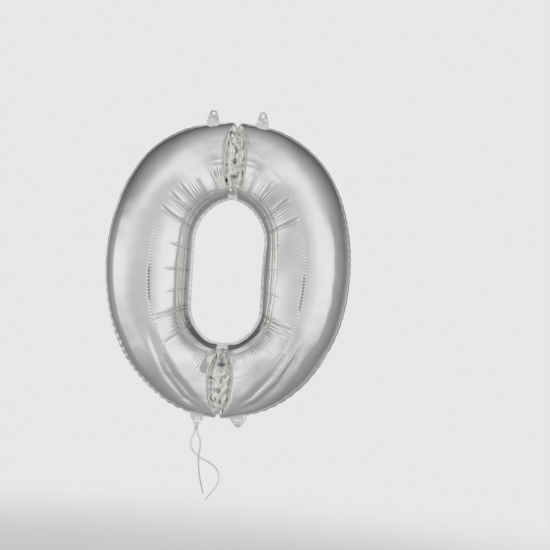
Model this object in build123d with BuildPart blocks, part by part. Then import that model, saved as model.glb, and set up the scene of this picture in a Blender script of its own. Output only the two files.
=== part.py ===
from build123d import *
from math import acos, asin, cos, pi, radians, sin, sqrt, tan
import os

# Silver foil number balloon, the figure 0, inflated and hung by its two top tabs.
# Two sheets of metallised film are welded face to face along the outline, round the hole of
# the 0 and down a narrow web at the top and the bottom, which leaves two C-shaped lobes of gas
# joined by a small passage across each web.
# Millimetres, +Z up, the front faces -Y.  The origin is midway between the two hanging holes.

# ---- driving dimensions -----------------------------------------------------------------------
film = 0.8                  # one sheet of film, thickened from its real 0.04 mm
zero_width = 644.0          # outline of the 0, side to side
zero_rise = 392.0           # middle of the 0 to the top of its outline
zero_drop = 388.0           # middle of the 0 to the bottom of its outline
rise_power = 2.3            # squareness of the upper half of the outline
drop_power = 2.05           # squareness of the lower half
hole_width = 184.0          # the hole of the 0, side to side
hole_rise = 190.0           # middle of the 0 to the point at the top of the hole
hole_drop = 190.0           # middle of the 0 to the bottom of the hole
hole_straight_up = 75.0     # straight side of the hole above the middle
hole_straight_down = 90.0   # and below it
lobe_depth = 190.0          # thickness of the gas-filled lobes, front to back
outer_seal = 6.0            # welded seam along the outline
hole_seal = 12.0            # welded seam round the hole
seal_power = 2.4            # squareness of the lobes' inner edge
web_width = 54.0            # flat welded web between the ends of the lobes
notch_width = 18.0          # dip of the outline between the lobes
notch_depth = 9.0
pad_reach = 15.0            # film that reaches from the seam out to a fold line
pillow_share = 0.55         # share of a lobe's quarter over which its end swells to full depth
end_depth = 6.0             # thickness of a lobe where it meets the web
passage_height = 34.0       # gas passage across a web, up and down
passage_depth = 10.0        # and front to back
passage_rise = 250.0        # middle of the 0 to the upper passage
passage_drop = 247.0        # and to the lower one

hang_spacing = 130.0        # between the two hanging holes
hang_reach = 19.0           # fold line of a top tab to its hole
top_tab_base = 36.0         # width of a top tab at its fold line
low_spacing = 108.6         # between the tab and the neck at the bottom
low_reach = 10.5            # fold line of the bottom tab and the neck to their holes
low_tab_base = 38.0
neck_base = 52.0
tab_hole_radius = 4.5
tab_rim = 5.0               # film left round a tab's hole
fold_gap = 0.3              # between a folding edge and the seam that it hangs on
channel_play = 1.0          # beside the valve, in the way in between the neck's two layers
valve_width = 28.0
valve_film = 0.6            # one film of the self-sealing valve, thickened likewise
valve_length = 80.0         # the loose part of the valve inside the lobe
valve_gap = 0.3             # between the two films at rest
weld_play = 0.1             # between the valve and the neck that is welded round it

ribbon_width = 5.0          # curling ribbon
loop_thickness = 2.4        # ribbon rolled up where it passes through the tab's hole
loop_play = 1.9             # between the rolled ribbon and the film that it goes round
knot_margin = 1.3           # the knot stands out past the tails by this
knot_height = 7.0
tail_gap = 0.4              # between the two tails where they leave the knot

# ---- sizes worked out from those ----------------------------------------------------------------
top_fold_height = zero_rise + 1.5
low_fold_depth = zero_drop + 0.5
hang_height = top_fold_height + hang_reach
middle = -hang_height                    # height of the middle of the 0 below the origin
hang_x = hang_spacing / 2
low_x = low_spacing / 2
top_fold_z = middle + top_fold_height
low_fold_z = middle - low_fold_depth
low_hole_z = low_fold_z - low_reach
neck_layer = 2 * film                    # each layer of the neck, with the pocket in it
tip_radius = tab_hole_radius + tab_rim
neck_channel_width = valve_width + 2 * channel_play
loop_radius = (tab_rim + loop_thickness) / 2 + loop_play
tail_spread = (ribbon_width + tail_gap) / 2
knot_width = 2 * tail_spread + ribbon_width + 2 * knot_margin
os.makedirs("parts", exist_ok=True)


def save(part, name):
    part.label = name
    export_step(part, f"parts/{name}.step")


# ---- outlines -----------------------------------------------------------------------------------
def oval_point(half_width, height, power, angle, inset):
    """Point of a squared oval's quarter at an angle in radians, moved inwards by inset."""
    x = half_width * cos(angle) ** (2 / power)
    z = height * sin(angle) ** (2 / power)
    slope_x = (x / half_width) ** (power - 1) / half_width
    slope_z = (z / height) ** (power - 1) / height
    length = sqrt(slope_x**2 + slope_z**2)
    return x - inset * slope_x / length, z - inset * slope_z / length


def web_angle(half_width, power):
    """Angle at which such an oval passes the edge of the web."""
    return acos((web_width / 2 / half_width) ** (power / 2))


def lobe_edges(share):
    """Inner and outer seam point of a section; share runs from 1 at the top web to -1."""
    up = share >= 0
    outer_height = zero_rise if up else zero_drop
    inner_height = (hole_rise if up else hole_drop) + hole_seal
    power = rise_power if up else drop_power
    inner_half = hole_width / 2 + hole_seal
    outer_angle = abs(share) * web_angle(zero_width / 2, power)
    inner_angle = abs(share) * web_angle(inner_half, seal_power)
    outer = oval_point(zero_width / 2, outer_height, power, outer_angle, outer_seal)
    inner = oval_point(inner_half, inner_height, seal_power, inner_angle, 0)
    sign = 1 if up else -1
    return (inner[0], sign * inner[1]), (outer[0], sign * outer[1])


def half_depth(share):
    """Half the thickness of a lobe, which swells from its flat ends like a pillow."""
    along = min((1 - abs(share)) / pillow_share, 1)
    return max(lobe_depth / 2 * sqrt(1 - (1 - along) ** 2), end_depth / 2)


def lobe_sections(wall, end_share):
    """Front half sections of the right lobe, shrunk by a wall, running a film past the seam."""
    sections = []
    shares = [1, 0.985, 0.96, 0.92, 0.86, 0.78, 0.68, 0.56, 0.42, 0.28, 0.14, 0]
    shares += [-share for share in reversed(shares[:-1])]
    for share in shares:
        inner, outer = lobe_edges(share * end_share)
        across = Vector(outer[0] - inner[0], 0, outer[1] - inner[1])
        centre = Vector((inner[0] + outer[0]) / 2, 0, middle + (inner[1] + outer[1]) / 2)
        normal = across.normalized().cross(Vector(0, -1, 0))
        half_width = across.length / 2 - wall
        depth = half_depth(share) - wall
        with BuildSketch(Plane(origin=centre, x_dir=across, z_dir=normal)) as section:
            with BuildLine():
                EllipticalCenterArc((0, 0), half_width, depth, start_angle=0, arc_size=180)
                Polyline((-half_width, 0), (-half_width, -film), (half_width, -film), (half_width, 0))
            make_face()
        sections.append(section.sketch)
    return sections


# ---- front and back foil ------------------------------------------------------------------------
with BuildPart() as front_foil:
    # flat sheet: the outline of the 0 with its notches, the hole and the pads under the tabs
    with BuildSketch(Plane.XZ):
        steps = 9
        quarter = [pi / 2 * i / steps for i in range(1, steps)]
        right_top = [oval_point(zero_width / 2, zero_rise, rise_power, a, 0) for a in quarter]
        right_low = [oval_point(zero_width / 2, zero_drop, drop_power, a, 0) for a in quarter]
        with BuildLine():
            side = [(x, middle + z) for x, z in reversed(right_top)]
            side += [(zero_width / 2, middle)]
            side += [(x, middle - z) for x, z in right_low]
            top_point = (0, middle + zero_rise)
            low_point = (0, middle - zero_drop)
            Spline([top_point] + side + [low_point], tangents=[(1, 0), (-1, 0)])
            left_side = [(-x, z) for x, z in reversed(side)]
            Spline([low_point] + left_side + [top_point], tangents=[(-1, 0), (1, 0)])
        make_face()
        for tip, edge, sign in ((zero_rise - notch_depth, zero_rise, 1), (notch_depth - zero_drop, -zero_drop, -1)):
            with BuildLine():
                Polyline(
                    (-notch_width / 2, middle + edge + sign),
                    (0, middle + tip),
                    (notch_width / 2, middle + edge + sign),
                    close=True,
                )
            make_face(mode=Mode.SUBTRACT)
        for x, fold_z, base, reach in (
            (-hang_x, top_fold_z, top_tab_base, -1),
            (hang_x, top_fold_z, top_tab_base, -1),
            (-low_x, low_fold_z, low_tab_base, 1),
            (low_x, low_fold_z, neck_base, 1),
        ):
            with Locations((x, fold_z + reach * pad_reach / 2)):
                Rectangle(base, pad_reach)
    extrude(amount=film)
    # gas lobes, swelling forwards from the sheet
    right_lobe = loft(lobe_sections(0, 1), mode=Mode.PRIVATE)
    add(right_lobe)
    mirror(right_lobe, about=Plane.YZ)
    # gas passages across the webs
    for z in (middle + passage_rise, middle - passage_drop):
        with BuildSketch(Plane.YZ):
            with Locations((0, z)):
                Ellipse(passage_depth / 2 + film, passage_height / 2 + film)
            with Locations((passage_depth, z)):
                Rectangle(2 * passage_depth, 2 * passage_height, mode=Mode.SUBTRACT)
        extrude(amount=web_width / 2 + outer_seal, both=True)
    # collar where the neck joins the lobe
    collar_top = low_fold_z + 3 * outer_seal
    collar_low = low_fold_z + neck_layer + fold_gap
    with Locations((low_x, -neck_layer / 2, (collar_top + collar_low) / 2)):
        Box(neck_channel_width + 4 * neck_layer, neck_layer, collar_top - collar_low)
    # hollow of the lobes, of the passages and of the way in from the neck
    right_hollow = loft(lobe_sections(film, 0.992), mode=Mode.PRIVATE)
    add(right_hollow, mode=Mode.SUBTRACT)
    mirror(right_hollow, about=Plane.YZ, mode=Mode.SUBTRACT)
    for z in (middle + passage_rise, middle - passage_drop):
        with BuildSketch(Plane.YZ):
            with Locations((0, z)):
                Ellipse(passage_depth / 2, passage_height / 2)
        extrude(amount=web_width / 2 + 2 * outer_seal, both=True, mode=Mode.SUBTRACT)
    with Locations((low_x, 0, low_fold_z + 2 * outer_seal)):
        Box(neck_channel_width, 2 * film, 4 * outer_seal, mode=Mode.SUBTRACT)
    # the hole of the 0: straight sides and pointed arches
    with BuildSketch(Plane.XZ):
        half = hole_width / 2
        with BuildLine():
            Line((half, middle - hole_straight_down), (half, middle + hole_straight_up))
            TangentArc((half, middle + hole_straight_up), (0, middle + hole_rise), tangent=(0, 1))
            TangentArc((-half, middle + hole_straight_up), (0, middle + hole_rise), tangent=(0, 1))
            Line((-half, middle + hole_straight_up), (-half, middle - hole_straight_down))
            TangentArc((-half, middle - hole_straight_down), (0, middle - hole_drop), tangent=(0, -1))
            TangentArc((half, middle - hole_straight_down), (0, middle - hole_drop), tangent=(0, -1))
        make_face()
    extrude(amount=2 * film, both=True, mode=Mode.SUBTRACT)
    # slots that clear the folding edges of the tabs and the neck
    for x, fold_z, base, bead in (
        (-hang_x, top_fold_z, top_tab_base, film),
        (hang_x, top_fold_z, top_tab_base, film),
        (-low_x, low_fold_z, low_tab_base, film),
        (low_x, low_fold_z, neck_base, neck_layer),
    ):
        slot = 2 * (bead + fold_gap)
        with Locations((x, 0, fold_z)):
            Box(base + 2 * fold_gap, 2 * slot, slot, mode=Mode.SUBTRACT)
    split(bisect_by=Plane.XZ, keep=Keep.TOP)
save(front_foil.part, "front_foil")

with BuildPart() as back_foil:
    mirror(front_foil.part, about=Plane.XZ)
save(back_foil.part, "back_foil")


# ---- tabs: the two sheets run on past the outline, welded together and punched --------------------
def tab_outline(x, fold_z, base, reach, sign):
    """Tab from its fold line to a round tip about its hole; sign is 1 upwards, -1 downwards."""
    hole_z = fold_z + sign * reach
    lean = asin(tip_radius / sqrt((base / 2) ** 2 + reach**2)) + asin(reach / sqrt((base / 2) ** 2 + reach**2))
    touch_x = tip_radius * sin(lean)
    touch_z = hole_z + sign * tip_radius * cos(lean)
    left_touch = (x - touch_x, touch_z)
    right_touch = (x + touch_x, touch_z)
    with BuildSketch(Plane.XZ) as outline:
        with BuildLine():
            Polyline(left_touch, (x - base / 2, fold_z), (x + base / 2, fold_z), right_touch)
            ThreePointArc(right_touch, (x, hole_z + sign * tip_radius), left_touch)
        make_face()
    return outline.sketch


def tab_layer(name, x, fold_z, base, reach, sign, side):
    """One layer of a tab; side is -1 for the front sheet and 1 for the back sheet."""
    with BuildPart() as layer:
        extrude(tab_outline(x, fold_z, base, reach, sign), amount=-side * film)
        with Locations((x, 0, fold_z + sign * reach)):
            Cylinder(tab_hole_radius, 4 * film, rotation=(90, 0, 0), mode=Mode.SUBTRACT)
        with Locations((x, 0, fold_z)):
            Cylinder(film, base, rotation=(0, 90, 0))
        split(bisect_by=Plane.XZ, keep=Keep.TOP if side < 0 else Keep.BOTTOM)
    save(layer.part, name)


for name, x, fold_z, base, reach, sign in (
    ("top_left_tab", -hang_x, top_fold_z, top_tab_base, hang_reach, 1),
    ("top_right_tab", hang_x, top_fold_z, top_tab_base, hang_reach, 1),
    ("bottom_left_tab", -low_x, low_fold_z, low_tab_base, low_reach, -1),
):
    tab_layer(name + "_front", x, fold_z, base, reach, sign, -1)
    tab_layer(name + "_back", x, fold_z, base, reach, sign, 1)


# ---- filling neck: two layers with a pocket between them for the valve ----------------------------
def neck_layer_part(name, side):
    """side is -1 for the front layer, which has the filling hole, and 1 for the back layer."""
    with BuildPart() as layer:
        extrude(tab_outline(low_x, low_fold_z, neck_base, low_reach, -1), amount=-side * neck_layer)
        with Locations((low_x, 0, low_fold_z)):
            Cylinder(neck_layer, neck_base, rotation=(0, 90, 0))
        with Locations((low_x, 0, low_fold_z + neck_layer - low_reach / 2)):
            Box(neck_channel_width, 2 * film, low_reach + 2 * neck_layer, mode=Mode.SUBTRACT)
        with Locations((low_x, 0, low_hole_z)):
            Cylinder(tab_hole_radius, 2 * film, rotation=(90, 0, 0), mode=Mode.SUBTRACT)
        if side < 0:
            with Locations((low_x, -neck_layer, low_hole_z)):
                Cylinder(tab_hole_radius, 2 * neck_layer, rotation=(90, 0, 0), mode=Mode.SUBTRACT)
        split(bisect_by=Plane.XZ, keep=Keep.TOP if side < 0 else Keep.BOTTOM)
    save(layer.part, name)


neck_layer_part("neck_front_layer", -1)
neck_layer_part("neck_back_layer", 1)

# ---- self-sealing valve: two slick films welded along their long edges ----------------------------
stub_half = film - weld_play
with BuildPart() as valve_mouth:
    # the end of the valve between the layers of the neck, down to the filling hole
    mouth_length = low_reach - tab_hole_radius
    with Locations((low_x, 0, low_fold_z - mouth_length / 2)):
        Box(valve_width, 2 * stub_half, mouth_length)
        Box(valve_width - 2 * valve_film, valve_gap, mouth_length, mode=Mode.SUBTRACT)
save(valve_mouth.part, "valve_mouth")

sleeve_low = low_fold_z + neck_layer + fold_gap
sleeve_length = 2.5 * outer_seal
with BuildPart() as valve_sleeve:
    # its flattened middle, welded in the collar of the lobe
    with Locations((low_x, 0, sleeve_low + sleeve_length / 2)):
        Box(valve_width, 2 * stub_half, sleeve_length)
        Box(valve_width - 2 * valve_film, valve_gap, sleeve_length, mode=Mode.SUBTRACT)
save(valve_sleeve.part, "valve_sleeve")

flap_low = sleeve_low + sleeve_length + 1.0
for name, side in (("valve_front_flap", -1), ("valve_back_flap", 1)):
    # its loose inner end, whose two films part when gas is blown in
    with BuildPart() as flap:
        flap_y = side * (valve_gap + valve_film) / 2
        with Locations((low_x, flap_y, flap_low + valve_length / 2)):
            Box(valve_width, valve_film, valve_length)
        fillet(flap.edges().filter_by(Axis.Y).group_by(Axis.Z)[-1], radius=valve_width / 5)
    save(flap.part, name)

# ---- curling ribbon, tied through the hole of the bottom left tab ---------------------------------
rim_middle = low_hole_z - tab_hole_radius - tab_rim / 2
loop_low = rim_middle - loop_radius
with BuildPart() as ribbon_loop:
    with BuildSketch(Plane.XZ):
        with Locations((-low_x, loop_low)):
            Circle(loop_thickness / 2)
    revolve(axis=Axis((-low_x, 0, rim_middle), (1, 0, 0)), revolution_arc=360)
save(ribbon_loop.part, "ribbon_loop")

knot_top = loop_low - loop_thickness / 2 - fold_gap
knot_z = knot_top - knot_height / 2
with BuildPart() as ribbon_knot:
    with Locations((-low_x, 0, knot_z)):
        Cylinder(knot_width / 2, knot_height)
    fillet(ribbon_knot.edges().filter_by(GeomType.CIRCLE), radius=knot_height / 3)
save(ribbon_knot.part, "ribbon_knot")

# Routes of the two tails, measured from the middle of the knot's underside: right, back, up.
# The first hangs to the left and then crosses in front of the second.
long_tail_route = [
    (-tail_spread, 0, 0),
    (-tail_spread, 0, -9),
    (-11, -2, -24),
    (-13, -4, -42),
    (-1, -6, -62),
    (16, -7, -74),
    (37, -6, -83),
    (58, -5, -96),
    (69, -4, -114),
    (69, -4, -134),
    (60, -3, -153),
    (46, -2, -170),
    (37, 0, -184),
]
short_tail_route = [
    (tail_spread, 0, 0),
    (tail_spread, 0, -10),
    (13, 2, -27),
    (14, 4, -48),
    (11, 5, -68),
    (12, 5, -90),
    (15, 6, -112),
    (19, 6, -133),
    (25, 7, -153),
    (30, 8, -170),
]


def ribbon_tail(name, route):
    """Straight runs joined by tangent arcs, each as large as its two runs allow."""
    knot_under = Vector(-low_x, 0, knot_z - knot_height / 2)
    points = [knot_under + Vector(*step) for step in route]
    radii = []
    for before, corner, after in zip(points, points[1:], points[2:]):
        turn = radians((corner - before).get_angle(after - corner))
        radii.append(0.45 * min((corner - before).length, (after - corner).length) / tan(turn / 2))
    with BuildPart() as tail:
        with BuildLine():
            path = FilletPolyline(*points, radius=radii)
        with BuildSketch(Plane(origin=path @ 0, z_dir=path % 0)):
            Circle(ribbon_width / 2)
        sweep()
    save(tail.part, name)
    expected = path.length * pi * (ribbon_width / 2) ** 2
    print(f"{name}: length {path.length:.1f} mm, volume {tail.part.volume:.0f} of {expected:.0f} mm3")
    print("  radii", [round(radius, 1) for radius in radii])


ribbon_tail("ribbon_long_tail", long_tail_route)
ribbon_tail("ribbon_short_tail", short_tail_route)
print(f"film volume {(front_foil.part.volume + back_foil.part.volume) / 1000:.0f} cm3")
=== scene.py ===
import math
import bpy
import numpy as np
from mathutils import Matrix, Vector


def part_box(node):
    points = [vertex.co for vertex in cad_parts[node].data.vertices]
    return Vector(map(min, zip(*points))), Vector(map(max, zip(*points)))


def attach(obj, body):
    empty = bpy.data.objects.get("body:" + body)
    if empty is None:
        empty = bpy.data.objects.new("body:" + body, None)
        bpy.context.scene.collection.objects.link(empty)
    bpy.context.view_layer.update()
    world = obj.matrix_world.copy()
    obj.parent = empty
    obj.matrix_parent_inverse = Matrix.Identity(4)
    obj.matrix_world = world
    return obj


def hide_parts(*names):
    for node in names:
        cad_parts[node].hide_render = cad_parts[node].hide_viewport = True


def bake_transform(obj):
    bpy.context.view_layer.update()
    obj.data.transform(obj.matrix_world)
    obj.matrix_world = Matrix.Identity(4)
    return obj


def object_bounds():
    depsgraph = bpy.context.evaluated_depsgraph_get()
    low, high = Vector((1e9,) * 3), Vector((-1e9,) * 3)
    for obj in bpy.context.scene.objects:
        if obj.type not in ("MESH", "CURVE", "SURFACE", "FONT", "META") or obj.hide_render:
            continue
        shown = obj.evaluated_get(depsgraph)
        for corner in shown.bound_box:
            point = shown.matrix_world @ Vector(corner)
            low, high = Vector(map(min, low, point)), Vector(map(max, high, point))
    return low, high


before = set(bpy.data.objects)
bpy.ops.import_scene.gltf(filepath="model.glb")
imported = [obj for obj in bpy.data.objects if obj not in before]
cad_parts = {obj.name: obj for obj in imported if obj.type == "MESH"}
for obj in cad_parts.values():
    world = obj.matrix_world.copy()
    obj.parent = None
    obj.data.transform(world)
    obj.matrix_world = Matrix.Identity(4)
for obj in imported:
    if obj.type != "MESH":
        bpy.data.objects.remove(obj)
cad_low, cad_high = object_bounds()
bpy.ops.object.select_all(action="DESELECT")

# ==== Studio =====================================================================================
# The balloon hangs over a pale floor.  Polished film shows little but what it mirrors, so the
# studio is bright in front, dims overhead and underfoot, and is grey behind.
foil_low, foil_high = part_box("front_foil")
# the tabs fold along level lines just outside the outline of the 0
low_fold = foil_low[2] - 0.0005
high_fold = foil_high[2] + 0.0011
zero_top = high_fold - 0.0015
zero_bottom = low_fold + 0.0005
drop_share = 388 / 780
middle = zero_bottom + (zero_top - zero_bottom) * drop_share
view_width = 1.449
view_distance = 4.5
tilt = math.radians(3.965)
aim = Vector((0.125, 0.0, middle - 0.001))
floor_drop, floor_radius = 0.30, 2.6

camera_data = bpy.data.cameras.new("camera")
camera_data.sensor_width = 36.0
camera_data.lens = camera_data.sensor_width * view_distance / view_width
camera = bpy.data.objects.new("camera", camera_data)
bpy.context.scene.collection.objects.link(camera)
camera_right = Vector((math.cos(tilt), 0, math.sin(tilt)))
camera_up = Vector((-math.sin(tilt), 0, math.cos(tilt)))
camera_back = Vector((0, -1, 0))
camera.matrix_world = Matrix.Translation(aim + camera_back * view_distance) @ Matrix(
    (camera_right, camera_up, camera_back)
).transposed().to_4x4()
bpy.context.scene.camera = camera
bpy.context.scene.view_settings.view_transform = "Standard"


def wire(tree, node, inputs):
    """Set inputs of a node, by name or number, to a value or to another node's output."""
    for socket, value in inputs.items():
        if isinstance(value, bpy.types.NodeSocket):
            tree.links.new(value, node.inputs[socket])
        else:
            node.inputs[socket].default_value = value


def add_node(tree, kind, inputs=None, **settings):
    """A new shader node with its settings and its inputs."""
    node = tree.nodes.new("ShaderNode" + kind)
    for name, value in settings.items():
        setattr(node, name, value)
    wire(tree, node, inputs or {})
    return node


def mixed(tree, share, first, second):
    """A colour that goes over from the first to the second as the share rises."""
    mix = add_node(tree, "Mix", {"Factor": share, "A": first, "B": second}, data_type="RGBA")
    return mix.outputs["Result"]


def new_material(name):
    """A material with its node tree and its main shader."""
    material = bpy.data.materials.new(name)
    material.use_nodes = True
    return material, material.node_tree, material.node_tree.nodes["Principled BSDF"]


bpy.ops.mesh.primitive_circle_add(
    vertices=96, radius=floor_radius, fill_type="NGON", location=(0, 0, cad_low[2] - floor_drop)
)
floor = bpy.context.object
floor.name = "floor"
floor_paint, paint, paint_shader = new_material("floor_paint")
wire(paint, paint_shader, {"Base Color": (0.86, 0.86, 0.87, 1), "Roughness": 0.9})
# the floor fades out towards its rim
floor_place = add_node(paint, "TexCoord").outputs["Object"]
floor_reach = add_node(paint, "VectorMath", {0: floor_place}, operation="LENGTH").outputs["Value"]
floor_fade = add_node(
    paint, "MapRange", {"From Min": 0.9, "From Max": floor_radius * 0.98, "Value": floor_reach},
    interpolation_type="SMOOTHSTEP",
)
floor_gone = add_node(paint, "BsdfTransparent")
floor_mix = add_node(
    paint, "MixShader",
    {"Fac": floor_fade.outputs["Result"], 1: paint_shader.outputs[0], 2: floor_gone.outputs[0]},
)
wire(paint, paint.nodes["Material Output"], {"Surface": floor_mix.outputs[0]})
floor.data.materials.append(floor_paint)
floor.visible_glossy = False


def soft_light(name, place, target, size, power):
    """A softbox at a place, turned to a target.  The film mirrors the studio, not the lamps."""
    lamp_data = bpy.data.lights.new(name, "AREA")
    lamp_data.shape = "RECTANGLE"
    lamp_data.size, lamp_data.size_y = size
    lamp_data.energy = power
    lamp = bpy.data.objects.new(name, lamp_data)
    bpy.context.scene.collection.objects.link(lamp)
    lamp.location = place
    lamp.rotation_euler = (Vector(target) - Vector(place)).to_track_quat("-Z", "Y").to_euler()
    lamp.visible_glossy = False


heart = (0, 0, middle)
soft_light("front_softbox", (-1.4, -3.0, middle + 1.6), heart, (1.6, 1.6), 60)
soft_light("back_softbox", (1.4, 2.6, middle + 1.8), heart, (1.6, 1.6), 45)

world = bpy.data.worlds.new("studio")
bpy.context.scene.world = world
world.use_nodes = True
air = world.node_tree
air.nodes.clear()
direction = add_node(air, "TexCoord").outputs["Generated"]
compass = add_node(air, "SeparateXYZ", {0: direction}).outputs
tone_end = 1.1


def studio_tones(steps, value):
    """Grey tones along a value that runs from -tone_end in front to tone_end behind."""
    spread = add_node(air, "MapRange", {"From Min": -tone_end, "From Max": tone_end, "Value": value})
    ramp = add_node(air, "ValToRGB", {"Fac": spread.outputs[0]})
    # the first two steps given are the two that a new ramp already has
    for number, (place, tone) in enumerate(steps):
        position = (place + tone_end) / (2 * tone_end)
        if number < 2:
            step = ramp.color_ramp.elements[number]
            step.position = position
        else:
            step = ramp.color_ramp.elements.new(position)
        step.color = (tone, tone, tone * 1.004, 1)
    return ramp.outputs["Color"]


# level with the balloon the white screens end in an edge, further round on the left
skewed = add_node(air, "VectorMath", {0: direction, 1: (0.29, 1.0, 0.25)}, operation="DOT_PRODUCT")
around = studio_tones(
    ((-1.1, 0.58), (1.1, 0.37), (-1.0, 0.60), (-0.92, 0.70), (-0.75, 0.86), (-0.35, 0.90),
     (-0.13, 0.84), (-0.085, 0.42), (0.2, 0.34), (0.5, 0.26), (0.68, 0.20), (0.78, 0.29), (0.95, 0.37)),
    skewed.outputs["Value"],
)
# overhead they fade evenly to dark
overhead = studio_tones(
    ((-1.1, 0.74), (1.1, 0.07), (-1.0, 0.78), (-0.9, 0.84), (-0.78, 0.80), (-0.68, 0.68),
     (-0.58, 0.55), (-0.44, 0.45), (-0.2, 0.34), (0.0, 0.28), (0.37, 0.18), (0.70, 0.11)),
    compass["Y"],
)
height_share = add_node(
    air, "MapRange", {"From Min": 0.02, "From Max": 0.38, "Value": compass["Z"]},
    interpolation_type="SMOOTHSTEP",
)
walls = mixed(air, height_share.outputs[0], around, overhead)
# below the balloon it is grey, with the edge of a table in it
below = add_node(air, "MapRange", {"From Min": -0.06, "From Max": -0.80, "Value": compass["Z"]})
table_edge = add_node(air, "ValToRGB", {"Fac": below.outputs[0]})
for place, tone in ((0.50, 0.46), (0.525, 0.68)):
    table_edge.color_ramp.elements.new(place).color = (tone, tone, tone, 1)
underfoot = studio_tones(((-1.1, 0.42), (1.1, 0.22), (-0.6, 0.38), (0.0, 0.34), (0.4, 0.27)), compass["Y"])
shaded = mixed(air, table_edge.outputs["Color"], walls, underfoot)
# one white panel right behind the balloon gives its back something to mirror
panel_share = add_node(
    air, "MapRange", {"From Min": 0.885, "From Max": 0.915, "Value": compass["Y"]},
    interpolation_type="SMOOTHSTEP",
)
panelled = mixed(air, panel_share.outputs[0], shaded, (0.72, 0.72, 0.72, 1))
mirrored = add_node(air, "Background", {"Color": panelled})
backdrop = add_node(air, "Background", {"Color": (0.80, 0.80, 0.805, 1)})
seen = add_node(air, "LightPath").outputs["Is Camera Ray"]
choice = add_node(air, "MixShader", {"Fac": seen, 1: mirrored.outputs[0], 2: backdrop.outputs[0]})
add_node(air, "OutputWorld", {"Surface": choice.outputs[0]})

# ==== Foil envelope ==============================================================================
# Two sheets of metallised film, welded along the outline, round the hole of the 0 and down a web
# at the top and the bottom, and blown up with gas.  The flat film has to get shorter along every
# curve as it fills, so it gathers into pleats beside the seams and crumples in the webs.
half_width = foil_high[0] - 0.00005
rise = zero_top - middle
drop = middle - zero_bottom
rise_power, drop_power = 2.3, 2.05
hole_half, hole_rise, hole_drop = 0.092, 0.190, 0.190
straight_up, straight_down = 0.075, 0.090
arch_radius_up = (hole_half**2 + (hole_rise - straight_up) ** 2) / (2 * hole_half)
arch_radius_down = (hole_half**2 + (hole_drop - straight_down) ** 2) / (2 * hole_half)
outer_weld, hole_weld = 0.0034, 0.0045
web_half, web_neck = 0.021, 0.0125
# how far the top tabs, and below them the bottom tab and the neck, stand from the middle
hang_x, neck_x = 0.065, 0.0543
lobe_half_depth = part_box("back_foil")[1][1] * 0.985
film_half = 0.0006
lobe_columns, web_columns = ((640, 44))
tube_rows, weld_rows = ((84, 4))


def smooth(low, high, value):
    """Rises from 0 to 1 as a value goes from low to high, with soft ends."""
    share = np.clip((value - low) / (high - low), 0, 1)
    return share * share * (3 - 2 * share)


def bell(value, width):
    """1 where a value is nought, falling away on both sides over a width."""
    return np.exp(-((value / width) ** 2))


def oval(half, height, power, angle):
    """A squared oval; the angle runs from 0 at the top to half a turn at the bottom."""
    x = half * np.abs(np.sin(angle)) ** (2 / power)
    z = height * np.sign(np.cos(angle)) * np.abs(np.cos(angle)) ** (2 / power)
    return x, z


def outline_point(angle, inset):
    """A line inside the outline of the 0, by an inset."""
    upper = np.cos(angle) >= 0
    height = np.where(upper, rise, drop)
    power = np.where(upper, rise_power, drop_power)
    x, z = oval(half_width, height, power, angle)
    slope_x = (x / half_width) ** (power - 1) / half_width
    slope_z = np.sign(z) * (np.abs(z) / height) ** (power - 1) / height
    length = np.hypot(slope_x, slope_z)
    return x - inset * slope_x / length, z - inset * slope_z / length


def hole_point(angle, offset):
    """A line round the hole of the 0, which has straight sides and pointed arches."""
    upper = np.cos(angle) >= 0
    straight = np.where(upper, straight_up, straight_down)
    tall = np.where(upper, hole_rise, hole_drop) - straight
    radius = np.where(upper, arch_radius_up, arch_radius_down)
    x_share, z_share = np.abs(np.sin(angle)), np.abs(np.cos(angle))
    # walk out along the ray until it meets the side or the arch
    reach = np.full_like(angle, 0.01)
    for _ in range(60):
        x, z = reach * x_share * hole_half, reach * z_share * (straight + tall)
        arch = np.hypot(x + radius - hole_half, z - straight) - radius
        over = np.where(z > straight, arch, x - hole_half) - offset
        reach = reach - over / 0.12
    return reach * x_share * hole_half, np.where(upper, 1, -1) * reach * z_share * (straight + tall)


def seam_start(half, power):
    """Angle at which the outline leaves a web."""
    return math.asin((web_half / half) ** (power / 2))


def lobe_lines(walk):
    """Rim of the hole, inner weld, outer weld and outline of the right lobe, from top to bottom."""
    top_out = seam_start(half_width, rise_power)
    low_out = seam_start(half_width, drop_power)
    start_in = math.asin(web_neck / (hole_half + hole_weld))
    outer_angle = top_out + walk * (math.pi - top_out - low_out)
    inner_angle = start_in + walk * (math.pi - 2 * start_in)
    pairs = (
        hole_point(inner_angle, 0.0), hole_point(inner_angle, hole_weld),
        outline_point(outer_angle, outer_weld), outline_point(outer_angle, 0.0),
    )
    return [np.stack(pair, 1) for pair in pairs]


def spaced(places, density, count):
    """Count values between the first and the last place, closer where the density is high."""
    filled = np.concatenate(([0], np.cumsum((density[1:] + density[:-1]) / 2 * np.diff(places))))
    return np.interp((np.arange(count) + 0.5) / count, filled / filled[-1], places)


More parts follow.
